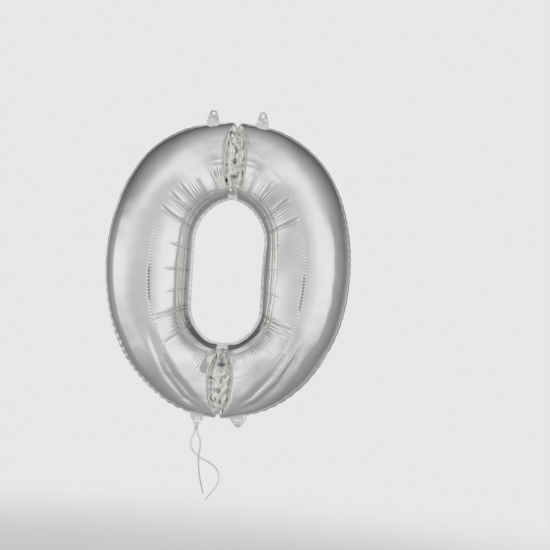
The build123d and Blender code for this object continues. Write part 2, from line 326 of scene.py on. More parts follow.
# columns run once round the 0: right lobe downwards, lower web, left lobe upwards, upper web;
# they stand closest along the legs and round the corners of the hole, where the pleats are
fine_walk = np.linspace(0, 1, 8001)
fine_lines = lobe_lines(fine_walk)
fine_centre = (fine_lines[1] + fine_lines[2]) / 2
fine_length = np.concatenate(([0], np.cumsum(np.linalg.norm(np.diff(fine_centre, axis=0), axis=1))))
pleated = smooth(0.0, 0.05, 0.235 - np.abs(fine_lines[1][:, 1]))
near_web = bell(np.minimum(fine_length, fine_length[-1] - fine_length), 0.02)
walk = np.interp(
    spaced(fine_length, 1 + 1.0 * pleated + 1.2 * near_web, lobe_columns), fine_length, fine_walk
)
right_lines = lobe_lines(walk)
web_walk = (np.arange(web_columns) + 0.5) / web_columns
lines = []
for line, arch_offset in zip(right_lines, (0.0, hole_weld, None, None)):
    low_end, top_end = line[-1], line[0]
    over = 1 - 2 * web_walk
    low = np.stack((low_end[0] * over, np.full(web_columns, low_end[1])), 1)
    top = np.stack((-top_end[0] * over, np.full(web_columns, top_end[1])), 1)
    if arch_offset is not None:
        for web, straight, radius, sign in (
            (low, straight_down, arch_radius_down, -1), (top, straight_up, arch_radius_up, 1),
        ):
            run = np.abs(web[:, 0]) + radius - hole_half
            web[:, 1] = sign * (straight + np.sqrt((radius + arch_offset) ** 2 - run**2))
    lines.append(np.concatenate((line, low, line[::-1] * (-1, 1), top)))
rim, inner, outer, edge = lines
columns = len(rim)
in_web = np.zeros(columns, bool)
in_web[lobe_columns : lobe_columns + web_columns] = True
in_web[2 * lobe_columns + web_columns :] = True
ones, zeros = np.ones(lobe_columns), np.zeros(web_columns)
side = np.concatenate((ones, zeros, -ones, zeros))

# length along the middle of each lobe, from its lower or upper web
centre_line = (inner + outer) / 2
steps = np.linalg.norm(np.diff(centre_line, axis=0, append=centre_line[:1]), axis=1)
along = np.concatenate(([0], np.cumsum(steps)[:-1]))
lobe_length = along[lobe_columns - 1]
from_web = np.minimum(along, lobe_length - along)
left_along = along - along[lobe_columns + web_columns]
from_web = np.where(side < 0, np.minimum(left_along, lobe_length - left_along), from_web)
from_web = np.where(in_web, 0, np.maximum(from_web, 0))
end_reach, end_wall, wall_part = 0.150, 0.0022, 0.48


def swell_of(part_walk):
    """How far the lobes have swollen at a place across them: a steep wall, then a soft rise."""
    reach = from_web / (0.22 + 0.78 * math.sin(math.pi * part_walk))
    wall = 1 - np.exp(-reach / end_wall)
    soft_rise = np.sin(math.pi / 2 * np.clip(reach / end_reach, 0, 1))
    return np.where(in_web, 0, wall_part * wall + (1 - wall_part) * soft_rise)


# rows run from the rim of the hole over the front to the outline and back behind
fine_tube = np.linspace(0, 1, 2001)
tube_density = 1 + 1.6 * bell(fine_tube - 0.19, 0.07) + 1.8 * bell(fine_tube - 0.472, 0.03)
tube_density += 0.8 * bell(fine_tube - 1, 0.08)
tube_walk = np.concatenate(([0], spaced(fine_tube, tube_density, tube_rows - 1), [1]))
weld_walk = np.arange(weld_rows) / weld_rows
rows = []
for part_walk in weld_walk:
    rows.append((rim + (inner - rim) * part_walk, np.zeros(columns), np.zeros(columns), part_walk - 1))
for part_walk in tube_walk:
    spot = inner + (outer - inner) * (0.5 - 0.5 * math.cos(math.pi * part_walk))
    bulge = lobe_half_depth * math.sin(math.pi * part_walk) ** 0.94 * swell_of(part_walk)
    rows.append((spot, bulge, np.full(columns, part_walk), part_walk))
for part_walk in np.append(weld_walk[1:], 1.0):
    rows.append((outer + (edge - outer) * part_walk, np.zeros(columns), np.ones(columns), 1 + part_walk))
front_count = len(rows)
flat = np.stack([row[0] for row in rows], 1)
across = np.stack([row[2] for row in rows], 1)
ladder = np.array([row[3] for row in rows])
# the film leaves each weld with a small thickness of its own
skin_half = np.full(front_count, film_half)
skin_half[0] = skin_half[-1] = 0
height = np.stack([row[1] for row in rows], 1) + skin_half

front = np.stack((flat[..., 0], -height, flat[..., 1] + middle), 2)
back = np.stack((flat[..., 0], height, flat[..., 1] + middle), 2)[:, -2:0:-1]
skin = np.concatenate((front, back), 1)


def over_both(values):
    """The values of the front rows, repeated in reverse for the back rows."""
    return np.concatenate((values, values[:, -2:0:-1]), 1)


across = over_both(across)
on_front = np.concatenate((np.ones(front_count), np.zeros(front_count - 2)))
behind = np.broadcast_to(1 - on_front[None, :], across.shape)
# steps run from -1 to 0 over the weld of the hole, to 1 over the tube and to 2 over the outer weld
step_of = over_both(np.broadcast_to(ladder[None, :], (columns, front_count)))
along = np.broadcast_to(along[:, None], across.shape)
lobe_side = np.broadcast_to(side[:, None], across.shape)
web_gap = np.broadcast_to(from_web[:, None], across.shape)
on_web = np.broadcast_to(in_web[:, None], across.shape)
on_tube = (step_of > 0) & (step_of < 1)
level = skin[..., 2] - middle
seam_level = np.broadcast_to(inner[:, 1][:, None], across.shape)


def ripples(points, length, seed, count=14):
    """Smooth random waves of about one length, from -1 to 1, over an array of points."""
    dice = np.random.default_rng(seed)
    total = np.zeros(points.shape[:-1])
    for _ in range(count):
        heading = dice.normal(size=3)
        heading *= 2 * math.pi / length * dice.uniform(0.6, 1.4) / np.linalg.norm(heading)
        total += np.sin(points @ heading + dice.uniform(0, 2 * math.pi))
    return total / math.sqrt(count) * 0.9


def outward(points):
    """Normals of a closed grid of points."""
    down = np.roll(points, -1, 0) - np.roll(points, 1, 0)
    over = np.roll(points, -1, 1) - np.roll(points, 1, 1)
    normal = np.cross(over, down)
    normal /= np.maximum(np.linalg.norm(normal, axis=2, keepdims=True), 1e-12)
    return -normal if normal[lobe_columns // 2, front_count // 2, 1] > 0 else normal


def near_fold(points, path, width):
    """How close points lie to a bent line, from 0 to 1, their gap to it, and its fade at the ends."""
    nearest = np.full(points.shape[:-1], 1e9)
    travelled = np.zeros(points.shape[:-1])
    ends = np.array(path)
    spots = points[..., (0, 2)] - (0, middle)
    runs = np.linalg.norm(np.diff(ends, axis=0), axis=1)
    for number, (start, end) in enumerate(zip(ends, ends[1:])):
        run = end - start
        share = np.clip(((spots - start) @ run) / (run @ run), 0, 1)
        gap = np.linalg.norm(spots - start - share[..., None] * run, axis=-1)
        walked = (runs[:number].sum() + share * runs[number]) / runs.sum()
        travelled = np.where(gap < nearest, walked, travelled)
        nearest = np.minimum(nearest, gap)
    fade = smooth(0, 0.3, travelled) * (1 - smooth(0.75, 1, travelled))
    return bell(nearest, width) * fade, nearest, fade


facing_out = outward(skin)
lift = np.zeros(across.shape)
away = smooth(0.0, 0.05, web_gap)

# the whole skin is never quite even
lift += 0.0010 * ripples(skin, 0.16, 3) * away
lift += 0.00016 * ripples(skin, 0.045, 4) * away

# fine pleats across the inner half of each leg, ending on a line of dashes along its crest
pleat_depth, crest, dash_length, dash_depth = 0.00036, 0.480, 0.0085, 0.0036
pleat_length = np.where(lobe_side > 0, 0.0054, 0.0062)
wander = 1.3 * np.sin(along / 0.083 + 2 * behind) + 0.8 * np.sin(along / 0.031 + lobe_side)
leg = smooth(-0.150, -0.105, level) * (1 - smooth(0.105, 0.135, level))
inner_edge = np.where(lobe_side > 0, 0.20, 0.38)
band = smooth(0, 0.07, across - inner_edge) * (1 - smooth(0.462, 0.478, across))
pleats = np.sin(2 * math.pi * along / pleat_length + wander)
uneven = 0.6 + 0.4 * np.sin(along / 0.047 + 1.3 * lobe_side + behind)
right_fade = 0.55 + 0.45 * smooth(-0.06, 0.02, level)
left_fade = 0.35 + 0.65 * bell(level - 0.09, 0.05)
fade_down = np.where(lobe_side > 0, right_fade, left_fade)
lift += pleat_depth * pleats * band * leg * uneven * fade_down
crest_line = bell(across - crest, 0.0085) * smooth(-0.175, -0.15, level) * (1 - smooth(0.10, 0.13, level))
dashed = 0.22 + 0.78 * smooth(-0.10, -0.08, level) * (1 - smooth(-0.01, 0.02, level))
dashes = crest_line * dashed * (0.5 + 0.5 * np.sin(2 * math.pi * along / dash_length + 0.5 * wander))
lift -= dash_depth * dashes

# fine pleats that fan out from the corners of the hole
fan_length, fan_depth = 0.0092, 0.00042
corner = smooth(0.105, 0.135, seam_level) * (1 - smooth(0.165, 0.2, seam_level))
corner += (1 - smooth(-0.12, -0.09, seam_level)) * smooth(-0.215, -0.19, seam_level)
fan = np.sin(2 * math.pi * along / fan_length + 1.4 * np.sin(along / 0.024))
ragged = 0.33 + 0.10 * np.sin(along / 0.0135) + 0.05 * np.sin(along / 0.0041)
fanned = fan * corner * smooth(0.20, 0.26, across) * (1 - smooth(-0.05, 0.03, across - ragged))
lift += fan_depth * fanned

# single creases, deepest at the corners of the hole where the film turns most: the lobe, its
# level, its depth and how far across the lobe it reaches
creases = (
    (1, 0.192, 0.0022, 0.42), (1, 0.176, 0.0018, 0.44), (1, 0.146, 0.0024, 0.46),
    (1, 0.108, 0.0018, 0.47), (1, -0.112, 0.0016, 0.47), (1, -0.128, 0.0011, 0.44),
    (1, -0.178, 0.0010, 0.34), (1, 0.062, 0.0005, 0.30), (1, 0.010, 0.0004, 0.28),
    (1, -0.050, 0.0005, 0.30), (-1, 0.193, 0.0022, 0.40), (-1, 0.180, 0.0014, 0.42),
    (-1, 0.158, 0.0018, 0.46), (-1, 0.138, 0.0024, 0.47), (-1, 0.108, 0.0017, 0.48),
    (-1, 0.050, 0.0007, 0.36), (-1, -0.004, 0.0008, 0.38), (-1, -0.053, 0.0006, 0.36),
    (-1, -0.097, 0.0013, 0.48), (-1, -0.106, 0.0010, 0.48), (-1, -0.150, 0.0020, 0.48),
    (-1, -0.140, 0.0008, 0.40), (-1, 0.205, 0.0016, 0.36), (1, 0.207, 0.0016, 0.36),
)
for which, crease_level, depth, reach in creases:
    there = np.where(side == which, np.abs(inner[:, 1] - crease_level * 0.95), np.inf)
    spot = along[int(np.argmin(there)), 0]
    spread = 0.0011 + 0.0030 * across * (1 + 150 * depth)
    gap = along - spot - 0.012 * np.sin(across * 7 + crease_level * 40) * across**2
    fold = bell(gap, spread) - 0.5 * bell(gap - 2.2 * spread, 1.4 * spread)
    fold -= 0.4 * bell(gap + 2.3 * spread, 1.4 * spread)
    strength = smooth(0.02, 0.10, across) * (1 - smooth(reach - 0.05, reach + 0.015, across))
    lift -= depth * fold * strength * np.where(behind > 0, 0.7, 1.0) * on_tube

# gathers right beside the weld of the hole
gather_depth = 0.0006
gather = np.sin(along / 0.0017 + 1.5 * np.sin(along / 0.019))
tight = np.maximum(smooth(0.10, 0.17, level), 1 - smooth(-0.20, -0.12, level))
gathered = gather * bell(across - 0.20, 0.035) * (0.10 + tight) * smooth(0.01, 0.03, web_gap)
lift += gather_depth * gathered * on_tube

# grooves that run along the weld, one beside the other: how far across, depth and width
for groove, depth, width in ((0.176, 0.0015, 0.008), (0.205, 0.0006, 0.006), (0.236, 0.0010, 0.009)):
    weave = 0.004 * np.sin(along / 0.06 + 30 * groove + lobe_side)
    weave += 0.002 * np.sin(along / 0.013 + groove * 90)
    lift -= depth * bell(across - groove - weave, width) * smooth(0.03, 0.09, web_gap)

# a soft ridge beside the weld where the hole turns at the bottom
ridge_place, ridge_height = 0.190, 0.0032
low_turn = (1 - smooth(-0.165, -0.115, seam_level)) * smooth(0.010, 0.040, web_gap)
lift += ridge_height * bell(across - ridge_place, 0.028) * low_turn * on_tube

# puckers of the outer weld, with a short crease running in from each
pucker_length, pucker_depth = 0.0235 / 1.45, 0.0022
pucker_turns = along / pucker_length + 0.8 * np.sin(along / 0.071 + lobe_side)
pucker = 2 * np.abs(np.sin(math.pi * pucker_turns)) - 1.2
pucker_size = (0.30 + 0.70 * (1 - smooth(-0.05, 0.22, level))) * (0.65 + 0.35 * np.sin(along / 0.11)) * away
lift += pucker_depth * pucker * pucker_size * np.clip((across - 0.84) / 0.16, 0, 1) ** 1.5 * on_tube

# soft folds low on each lobe and beside the upper web: width, depth and route
soft_folds = (
    (0.0085, 0.0060, (
        (-0.205, -0.130), (-0.176, -0.205), (-0.143, -0.272), (-0.090, -0.335), (-0.020, -0.382),
    )),
    (0.0080, 0.0055, (
        (-0.188, -0.150), (-0.152, -0.225), (-0.118, -0.278), (-0.072, -0.328), (-0.018, -0.368),
    )),
    (0.0080, 0.0055, (
        (0.200, -0.130), (0.170, -0.205), (0.135, -0.262), (0.085, -0.322), (0.022, -0.368),
    )),
    (0.0085, 0.0060, (
        (0.216, -0.150), (0.188, -0.222), (0.152, -0.285), (0.100, -0.338), (0.024, -0.382),
    )),
    (0.0065, 0.0013, (
        (-0.022, 0.322), (-0.055, 0.303), (-0.085, 0.282), (-0.125, 0.245),
    )),
    (0.0065, 0.0013, (
        (0.026, 0.322), (0.040, 0.302), (0.085, 0.278), (0.130, 0.232),
    )),
)
for width, depth, path in soft_folds:
    close, gap, fade = near_fold(skin, path, width)
    clear_of_web = smooth(0.008, 0.045, web_gap)
    close, fade = close * clear_of_web, fade * clear_of_web
    lift -= depth * (close - 0.30 * bell(gap - 2.0 * width, 1.6 * width) * fade) * on_tube
    lift -= 0.16 * depth * bell(gap, 0.0022) * fade * on_tube * (level < 0)
# flattened dents towards the outline: place, reach and depth
for x, z, reach, depth in (
    (0.245, -0.225, 0.050, 0.0050), (-0.262, -0.205, 0.055, 0.0045), (0.185, -0.305, 0.045, 0.0040),
    (-0.180, -0.300, 0.050, 0.0035), (-0.110, -0.362, 0.040, 0.0030), (0.115, -0.362, 0.040, 0.0030),
):
    lift -= depth * bell(np.hypot(skin[..., 0] - x, level - z), reach) * on_tube

# pleats that run in from the webs where the lobes end
tooth_depth = 0.0016
teeth = np.abs(np.sin(across * 60 + 2.2 * np.sin(across * 17 + 3 * lobe_side) + 3 * np.sign(level)))
teeth_reach = 0.0028 + 0.013 * bell(level + 0.312, 0.026) + 0.004 * bell(level - 0.30, 0.04)
toothed = (teeth - 0.6) * np.exp(-web_gap / teeth_reach) * bell(across - 0.55, 0.38)
lift += tooth_depth * toothed * ~on_web * on_tube

skin = skin + facing_out * lift[..., None]

# the outer weld draws in between its puckers, but runs straight where a tab or the neck joins it
draw_in = 0.0017
tab_x = np.where(level > 0, hang_x, neck_x)
near_tab = (1 - smooth(0.020, 0.036, np.abs(np.abs(skin[..., 0]) - tab_x))) * (np.abs(level) > 0.33)
weld_share = np.clip((step_of - 0.93) / 0.07, 0, 1) * ~on_web
pull = draw_in * (0.8 - pucker) * pucker_size * weld_share * (1 - near_tab)
centre = np.stack((centre_line[:, 0], np.zeros(columns), centre_line[:, 1] + middle), 1)
inwards = centre[:, None, :] - skin
inwards[..., 1] = 0
inwards /= np.maximum(np.linalg.norm(inwards, axis=2, keepdims=True), 1e-9)
skin = skin + inwards * pull[..., None]

# dips of the outline between the lobes, and the webs drawn narrow, wide and narrow again
notch_depth = 0.010
notch = bell(skin[..., 0], 0.011) * smooth(0.2, 0.37, np.abs(level))
skin[..., 2] -= np.sign(level) * notch_depth * notch
level = skin[..., 2] - middle
top_half, low_half = np.abs(skin[:1, :, 0]), np.abs(skin[lobe_columns - 1 : lobe_columns, :, 0])
row_half = np.where(level > 0, top_half, low_half)
# the level of a place on a web, and its half width there
drawn_places = (
    (-0.39, 0.009), (-0.36, 0.014), (-0.335, 0.022), (-0.29, 0.026), (-0.255, 0.024),
    (-0.238, 0.018), (-0.222, 0.0135), (-0.19, 0.0125), (0.19, 0.0125), (0.213, 0.0135),
    (0.235, 0.020), (0.267, 0.0225), (0.30, 0.0245), (0.345, 0.020), (0.365, 0.0155), (0.39, 0.010),
)
drawn_half = np.interp(level, *np.transpose(drawn_places))
narrow = np.sign(skin[..., 0]) * np.minimum(np.abs(skin[..., 0]) / row_half, 1) * (drawn_half - row_half)
skin[..., 0] += narrow * (1 - smooth(0.0, 0.07, web_gap))

# film in the webs buckles into facets, and steep peaks stand up along the middle of each
tent_height, facet_depth, shard_depth, jostle = 0.0100, 0.0030, 0.0026, 0.0012
across_web = np.abs(skin[..., 0]) / drawn_half
zigzag = np.abs(2 * np.mod(level / 0.023 + 0.12 * np.sin(level / 0.011), 1) - 1)
facets = np.abs(across_web - 0.30 - 0.40 * zigzag) * (1 - 0.9 * smooth(0.8, 1.0, across_web))
side_facets = np.abs(across_web - 0.74 + 0.26 * np.abs(2 * np.mod(level / 0.0145 + 0.3, 1) - 1))
shards = np.abs(ripples(skin * (1, 1, 0.55), 0.017, 22))
face = np.where(behind > 0, 1, -1)
inside = smooth(0, 0.10, across) * (1 - smooth(0.90, 1, across)) * on_web
inside = inside * smooth(0.200, 0.214, np.abs(level))
# each peak's place, half its width, half its length and its height
peaks = np.zeros(across.shape)
for x, z, half_across, half_along, tall in (
    (0.000, 0.318, 0.0055, 0.026, 0.0095), (-0.001, 0.290, 0.0100, 0.015, 0.0110),
    (0.002, 0.350, 0.0050, 0.014, 0.0070), (0.000, 0.250, 0.0210, 0.010, 0.0100),
    (0.001, -0.243, 0.0130, 0.0150, 0.0180), (0.002, -0.290, 0.0070, 0.011, 0.0095),
    (-0.002, -0.314, 0.0095, 0.013, 0.0120), (0.003, -0.343, 0.0070, 0.013, 0.0095),
    (-0.012, -0.312, 0.0060, 0.009, 0.0080),
):
    pointed = 1 - np.abs(skin[..., 0] - x) / half_across - np.abs(level - z) / half_along
    peaks = np.maximum(peaks, tall * pointed)
clear_of_peaks = 1 - smooth(0.0, 0.002, peaks)
tent = tent_height * (1 - np.clip(across_web, 0, 1)) + facet_depth * (facets + side_facets)
tent += shard_depth * shards
skin[..., 1] += face * tent * inside * (0.6 + 0.4 * clear_of_peaks)
skin[..., 1] += face * peaks * inside
skin[..., 0] += jostle * ripples(skin, 0.019, 23) * inside
skin[..., 2] += jostle * ripples(skin, 0.019, 24) * inside
# painted shade: where the film is folded sharpest, on the peaks of the webs and on the dashes along the
# crests, its colour is darkened, unevenly
uneven_shade = 0.60 + 0.40 * ripples(skin, 0.007, 27)
painted_peak_shade = smooth(0.0, 0.0070, peaks) * inside * uneven_shade
painted_fold_shade = np.maximum(painted_peak_shade, 0.85 * smooth(0.30, 0.75, dashes) * (dashed > 0.6))

# the weld swells a little round the valve that passes through it, leans back and waves elsewhere
valve_swell, weld_lean, weld_wave, rim_wave = 0.0016, 0.0034, 0.0008, 0.0009
past_valve = np.exp(-(((skin[..., 0] - neck_x) / 0.0165) ** 6)) * (level < -0.34)
past_valve = past_valve * smooth(0.96, 0.99, step_of) * (1 - smooth(1.85, 2.0, step_of))
skin[..., 1] += face * valve_swell * past_valve
free_weld = smooth(1.0, 2.0, step_of) * (1 - near_tab) * ~on_web
weld_waves = np.sin(along / 0.0062 + 2 * np.sin(along / 0.04)) * pucker_size
skin[..., 1] += (weld_lean + weld_wave * weld_waves) * free_weld
rim_waves = np.sin(along / 0.0045 + 2 * np.sin(along / 0.03)) * smooth(0.0, 1.0, -step_of)
skin[..., 1] += rim_wave * rim_waves


def place_points(piece, places):
    """Move the points of a mesh to new places."""
    piece.data.vertices.foreach_set("co", np.asarray(places).reshape(-1).astype(np.float32))
    piece.data.update()


def film_grid(name, places):
    """A grid mesh laid over rows of places."""
    bpy.ops.object.select_all(action="DESELECT")
    bpy.ops.mesh.primitive_grid_add(
        x_subdivisions=places.shape[1] - 1, y_subdivisions=places.shape[0] - 1, size=1, calc_uvs=True
    )
    grid = bpy.context.object
    grid.name = name
    place_points(grid, places)
    return grid


def close_seams(turn_outwards):
    """Merge points of the active mesh that lie on each other, and turn its faces outwards."""
    bpy.ops.object.mode_set(mode="EDIT")
    bpy.ops.mesh.select_all(action="SELECT")
    bpy.ops.mesh.remove_doubles(threshold=1e-7)
    if turn_outwards:
        bpy.ops.mesh.normals_make_consistent(inside=False)
    bpy.ops.object.mode_set(mode="OBJECT")


def wrapped(values):
    """One extra row and column, equal to the first, so that a flat grid closes on itself."""
    values = np.concatenate((values, values[:1]), 0)
    return np.concatenate((values, values[:, :1]), 1)


envelope = film_grid("foil_envelope", wrapped(skin))
# the first attribute carries the painted shade of the sharpest folds to the material
for label, values in (("film_painted_shade", painted_fold_shade), ("film_step", step_of)):
    marks = envelope.data.attributes.new(label, "FLOAT", "POINT")
    marks.data.foreach_set("value", wrapped(values).reshape(-1).astype(np.float32))
close_seams(turn_outwards=True)
bpy.ops.object.shade_smooth()


def two_tones(tree, value, low, high, span=(0, 1)):
    """A colour that runs from a low to a high tone as a value rises over a span."""
    ramp = add_node(tree, "ValToRGB", {"Fac": value})
    for step, position, tone in zip(ramp.color_ramp.elements, span, (low, high)):
        step.position = position
        step.color = (*tone, 1)
    return ramp.outputs["Color"]


def silver_film(name, roughness, weld_marks):
    """Metallised film: a clear mirror, a little clouded, with the marks of the weld bar in it."""
    material, tree, shader = new_material(name)
    place = add_node(tree, "TexCoord").outputs["Object"]
    cloud = add_node(tree, "TexNoise", {"Scale": 14, "Detail": 5, "Vector": place}).outputs["Fac"]
    tint = two_tones(tree, cloud, (0.875, 0.868, 0.850), (0.915, 0.910, 0.898), (0.3, 0.7))
    # painted shade: this attribute darkens the film's colour in its sharpest folds
    fold_shade = add_node(tree, "Attribute", attribute_name="film_painted_shade").outputs["Fac"]
    haze = add_node(
        tree, "MapRange", {"To Min": roughness * 0.75, "To Max": roughness * 1.35, "Value": cloud}
    )
    grain = add_node(tree, "TexNoise", {"Scale": 420, "Detail": 2, "Vector": place}).outputs["Fac"]
    bump = add_node(tree, "Bump", {"Strength": 0.05, "Distance": 0.0004, "Height": grain})
    if weld_marks:
        # the welds are where film_step lies outside 0 to 1, so more than half from a half
        step = add_node(tree, "Attribute", attribute_name="film_step").outputs["Fac"]
        past_half = add_node(tree, "Math", {0: step, 1: 0.5}, operation="SUBTRACT").outputs[0]
        from_half = add_node(tree, "Math", {0: past_half}, operation="ABSOLUTE").outputs[0]
        welded = add_node(tree, "MapRange", {"From Min": 0.50, "From Max": 0.56, "Value": from_half})
        ribs = add_node(tree, "TexVoronoi", {"Scale": 700, "Vector": place}).outputs["Distance"]
        pressed = add_node(tree, "Math", {0: ribs, 1: welded.outputs[0]}, operation="MULTIPLY").outputs[0]
        grained = bump.outputs["Normal"]
        bump = add_node(
            tree, "Bump", {"Strength": 0.30, "Distance": 0.0005, "Height": pressed, "Normal": grained}
        )
    # the base colour goes over to a near-black grey where the fold shade is painted
    wire(tree, shader, {
        "Metallic": 1.0,
        "Base Color": mixed(tree, fold_shade, tint, (0.15, 0.15, 0.153, 1)),
        "Roughness": haze.outputs[0],
        "Normal": bump.outputs["Normal"],
    })
    return material


envelope.data.materials.append(silver_film("silver_film", 0.13, True))
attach(envelope, "envelope")
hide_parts("front_foil", "back_foil")

# ==== Hanging tabs and bottom tab ================================================================
# The two films run on past the outline as small tabs, welded together and punched with a hole.
# The film is stiff enough to hold a curl: the left top tab hooks forward, the others stay flatter.
punch_radius, tab_rim = 0.0045, 0.005
tip_radius = punch_radius + tab_rim
turns, rings = 96, 14


def tab_edge(angles, base, reach, sink):
    """How far a tab's outline lies from its hole: a round tip, straight sides, a base in the weld."""
    slant = math.hypot(base / 2, reach)
    lean = math.asin(tip_radius / slant) + math.asin(reach / slant)
    touch = np.array((tip_radius * math.sin(lean), tip_radius * math.cos(lean)))
    corner = np.array((base / 2, -reach))
    foot = corner - (0, sink)
    to_touch, to_corner, to_foot = (math.atan2(*spot) for spot in (touch, corner, foot))
    run = (corner - touch) / np.linalg.norm(corner - touch)
    reaches = []
    for angle in angles:
        aim_x, aim_z = abs(math.sin(angle)), math.cos(angle)
        heading = math.atan2(aim_x, aim_z)
        if heading <= to_touch:
            reaches.append(tip_radius)
        elif heading <= to_corner:
            cross = aim_x * run[1] - aim_z * run[0]
            reaches.append((touch[0] * run[1] - touch[1] * run[0]) / cross)
        elif heading <= to_foot:
            reaches.append(corner[0] / aim_x)
        else:
            reaches.append(foot[1] / aim_z)
    return np.array(reaches)


def punched_film(name, x, fold_z, base, reach, sign, sink, from_radius, shaped):
    """A polar sheet round the hole of a tab.  The function shaped bends it to and fro."""
    angles = np.arange(turns) / turns * 2 * math.pi
    outer_reach = tab_edge(angles, base, reach, sink)
    out = (np.arange(rings) / (rings - 1)) ** 0.9
    radii = from_radius + (outer_reach[:, None] - from_radius) * out[None, :]
    spot_x = x + radii * np.sin(angles)[:, None]
    spot_z = fold_z + sign * reach + sign * radii * np.cos(angles)[:, None]
    points = np.stack((spot_x, np.zeros_like(spot_x), spot_z), 2)
    points = shaped(points, np.broadcast_to(out[None, :], spot_x.shape))
    sheet = film_grid(name, np.concatenate((points, points[:1]), 0))
    close_seams(turn_outwards=False)
    return sheet


def apply_modifier(piece, kind, **settings):
    """Shape the active piece with one modifier and make that part of its mesh."""
    modifier = piece.modifiers.new("shaping", kind)
    for name, value in settings.items():
        setattr(modifier, name, value)
    bpy.ops.object.modifier_apply(modifier="shaping")


def thicken(sheet, thickness):
    """Give a film its thickness and round it off."""
    apply_modifier(sheet, "SOLIDIFY", thickness=thickness, offset=0)
    apply_modifier(sheet, "SUBSURF", levels=1, render_levels=1)
    bpy.ops.object.shade_smooth()


tab_film = silver_film("tab_film", 0.15, False)
tab_thickness, crease_half = 0.0005, 0.0012
# the share of a tab, from its fold, that stays flat under the curl
flat_part = 0.12


def hanging_tab(name, x, fold_z, base, reach, sign, sink, curl, twist, seed):
    """One tab, curled forward towards its tip by an angle, twisted, and creased by handling."""

    def curled(points, out):
        from_fold = sign * (points[..., 2] - fold_z)
        span = reach + tip_radius
        share = np.clip(from_fold / span, 0, 1)
        bend = curl * (share - flat_part).clip(0) / (1 - flat_part)
        radius = span / curl
        risen = radius * np.sin(bend) + flat_part * span
        points[..., 2] = fold_z + sign * np.where(share > flat_part, risen, from_fold)
        points[..., 1] += radius * (np.cos(bend) - 1) + twist * (points[..., 0] - x) * share
        pressed = points * (1, 0, 1)
        crease = ripples(pressed, 0.017, seed) - 0.8 * np.abs(ripples(pressed, 0.011, seed + 1))
        points[..., 1] += 0.00115 * crease * smooth(0.0, 0.4, share) * smooth(0.0, 0.25, out)
        # the cut rim of the hole is pressed up a little
        points[..., 1] -= 0.0010 * bell(out - 0.10, 0.13)
        return points

    tab = punched_film(name, x, fold_z, base, reach, sign, sink, punch_radius, curled)
    thicken(tab, tab_thickness)
    tab.data.materials.append(tab_film)
    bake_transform(tab)
    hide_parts(name + "_front", name + "_back")


low_reach = 0.0105
top_cut = {"fold_z": high_fold, "base": 0.033, "reach": 0.019, "sign": 1, "sink": 0.013}
low_cut = {"fold_z": low_fold, "base": 0.034, "reach": low_reach, "sign": -1, "sink": 0.014}
hanging_tab("top_left_tab", -hang_x, **top_cut, curl=1.15, twist=0.10, seed=31)
hanging_tab("top_right_tab", hang_x, **top_cut, curl=0.35, twist=-0.06, seed=35)
hanging_tab("bottom_left_tab", -neck_x, **low_cut, curl=0.20, twist=0.04, seed=39)

# ==== Filling neck ===============================================================================
# The way in for the gas, beside the bottom tab: a front film with the filling hole, a whole back
# film, and the mouth of the valve between them.  A straw goes through the hole into the valve.
neck_base, neck_sink, neck_thickness = 0.044, 0.014, 0.0003
no_hole = 1e-5


def neck_layer(name, face, from_radius, seed=43):
    """One film of the neck, standing off the other over the pocket and welded to it at the edge."""

    def pillowed(points, out):
        beside = np.abs(points[..., 0] - neck_x) / 0.0185
        at_fold = smooth(-0.0065, -0.001, points[..., 2] - low_fold)
        closing = np.clip(out * (1 - at_fold) + beside * at_fold, 0, 1)
        apart = 0.00135 * (1 - closing**8) + 0.00022
        pressed = points * (1, 0, 1)
        both_bend = 0.0006 * ripples(pressed, 0.014, seed) * (0.25 + out)
        own_bend = face * 0.0007 * np.abs(ripples(pressed, 0.009, seed + face + 1))
        hole_rim = face * 0.0010 * bell(out - 0.12, 0.14) * (from_radius > no_hole)
        points[..., 1] = face * apart + (both_bend + own_bend) * (1 - at_fold) + hole_rim
        return points

    layer = punched_film(
        name, neck_x, low_fold, neck_base, low_reach, -1, neck_sink, from_radius, pillowed
    )
    thicken(layer, neck_thickness)
    layer.data.materials.append(tab_film)
    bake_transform(layer)
    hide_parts(name + "_layer")


neck_layer("neck_front", -1, punch_radius)
neck_layer("neck_back", 1, no_hole)

# ==== Valve ======================================================================================
# A flat tube of two slick clear films, welded along both long sides.  Its mouth lies in the neck,
# its middle passes through the weld, and its loose end is pressed shut by the gas in the lobe.
valve_film, valve_tree, valve_shader = new_material("valve_film")
valve_place = add_node(valve_tree, "TexCoord").outputs["Object"]
valve_cloud = add_node(valve_tree, "TexNoise", {"Scale": 160, "Vector": valve_place}).outputs["Fac"]
valve_haze = add_node(valve_tree, "MapRange", {"To Min": 0.22, "To Max": 0.42, "Value": valve_cloud})
wire(valve_tree, valve_shader, {
    "Transmission Weight": 0.55,
    "IOR": 1.46,
    "Base Color": two_tones(valve_tree, valve_cloud, (0.80, 0.83, 0.84), (0.90, 0.91, 0.90)),
    "Roughness": valve_haze.outputs[0],
})
for node in ("valve_mouth", "valve_sleeve", "valve_front_flap", "valve_back_flap"):
    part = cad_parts[node]
    part.data.materials.clear()
    part.data.materials.append(valve_film)

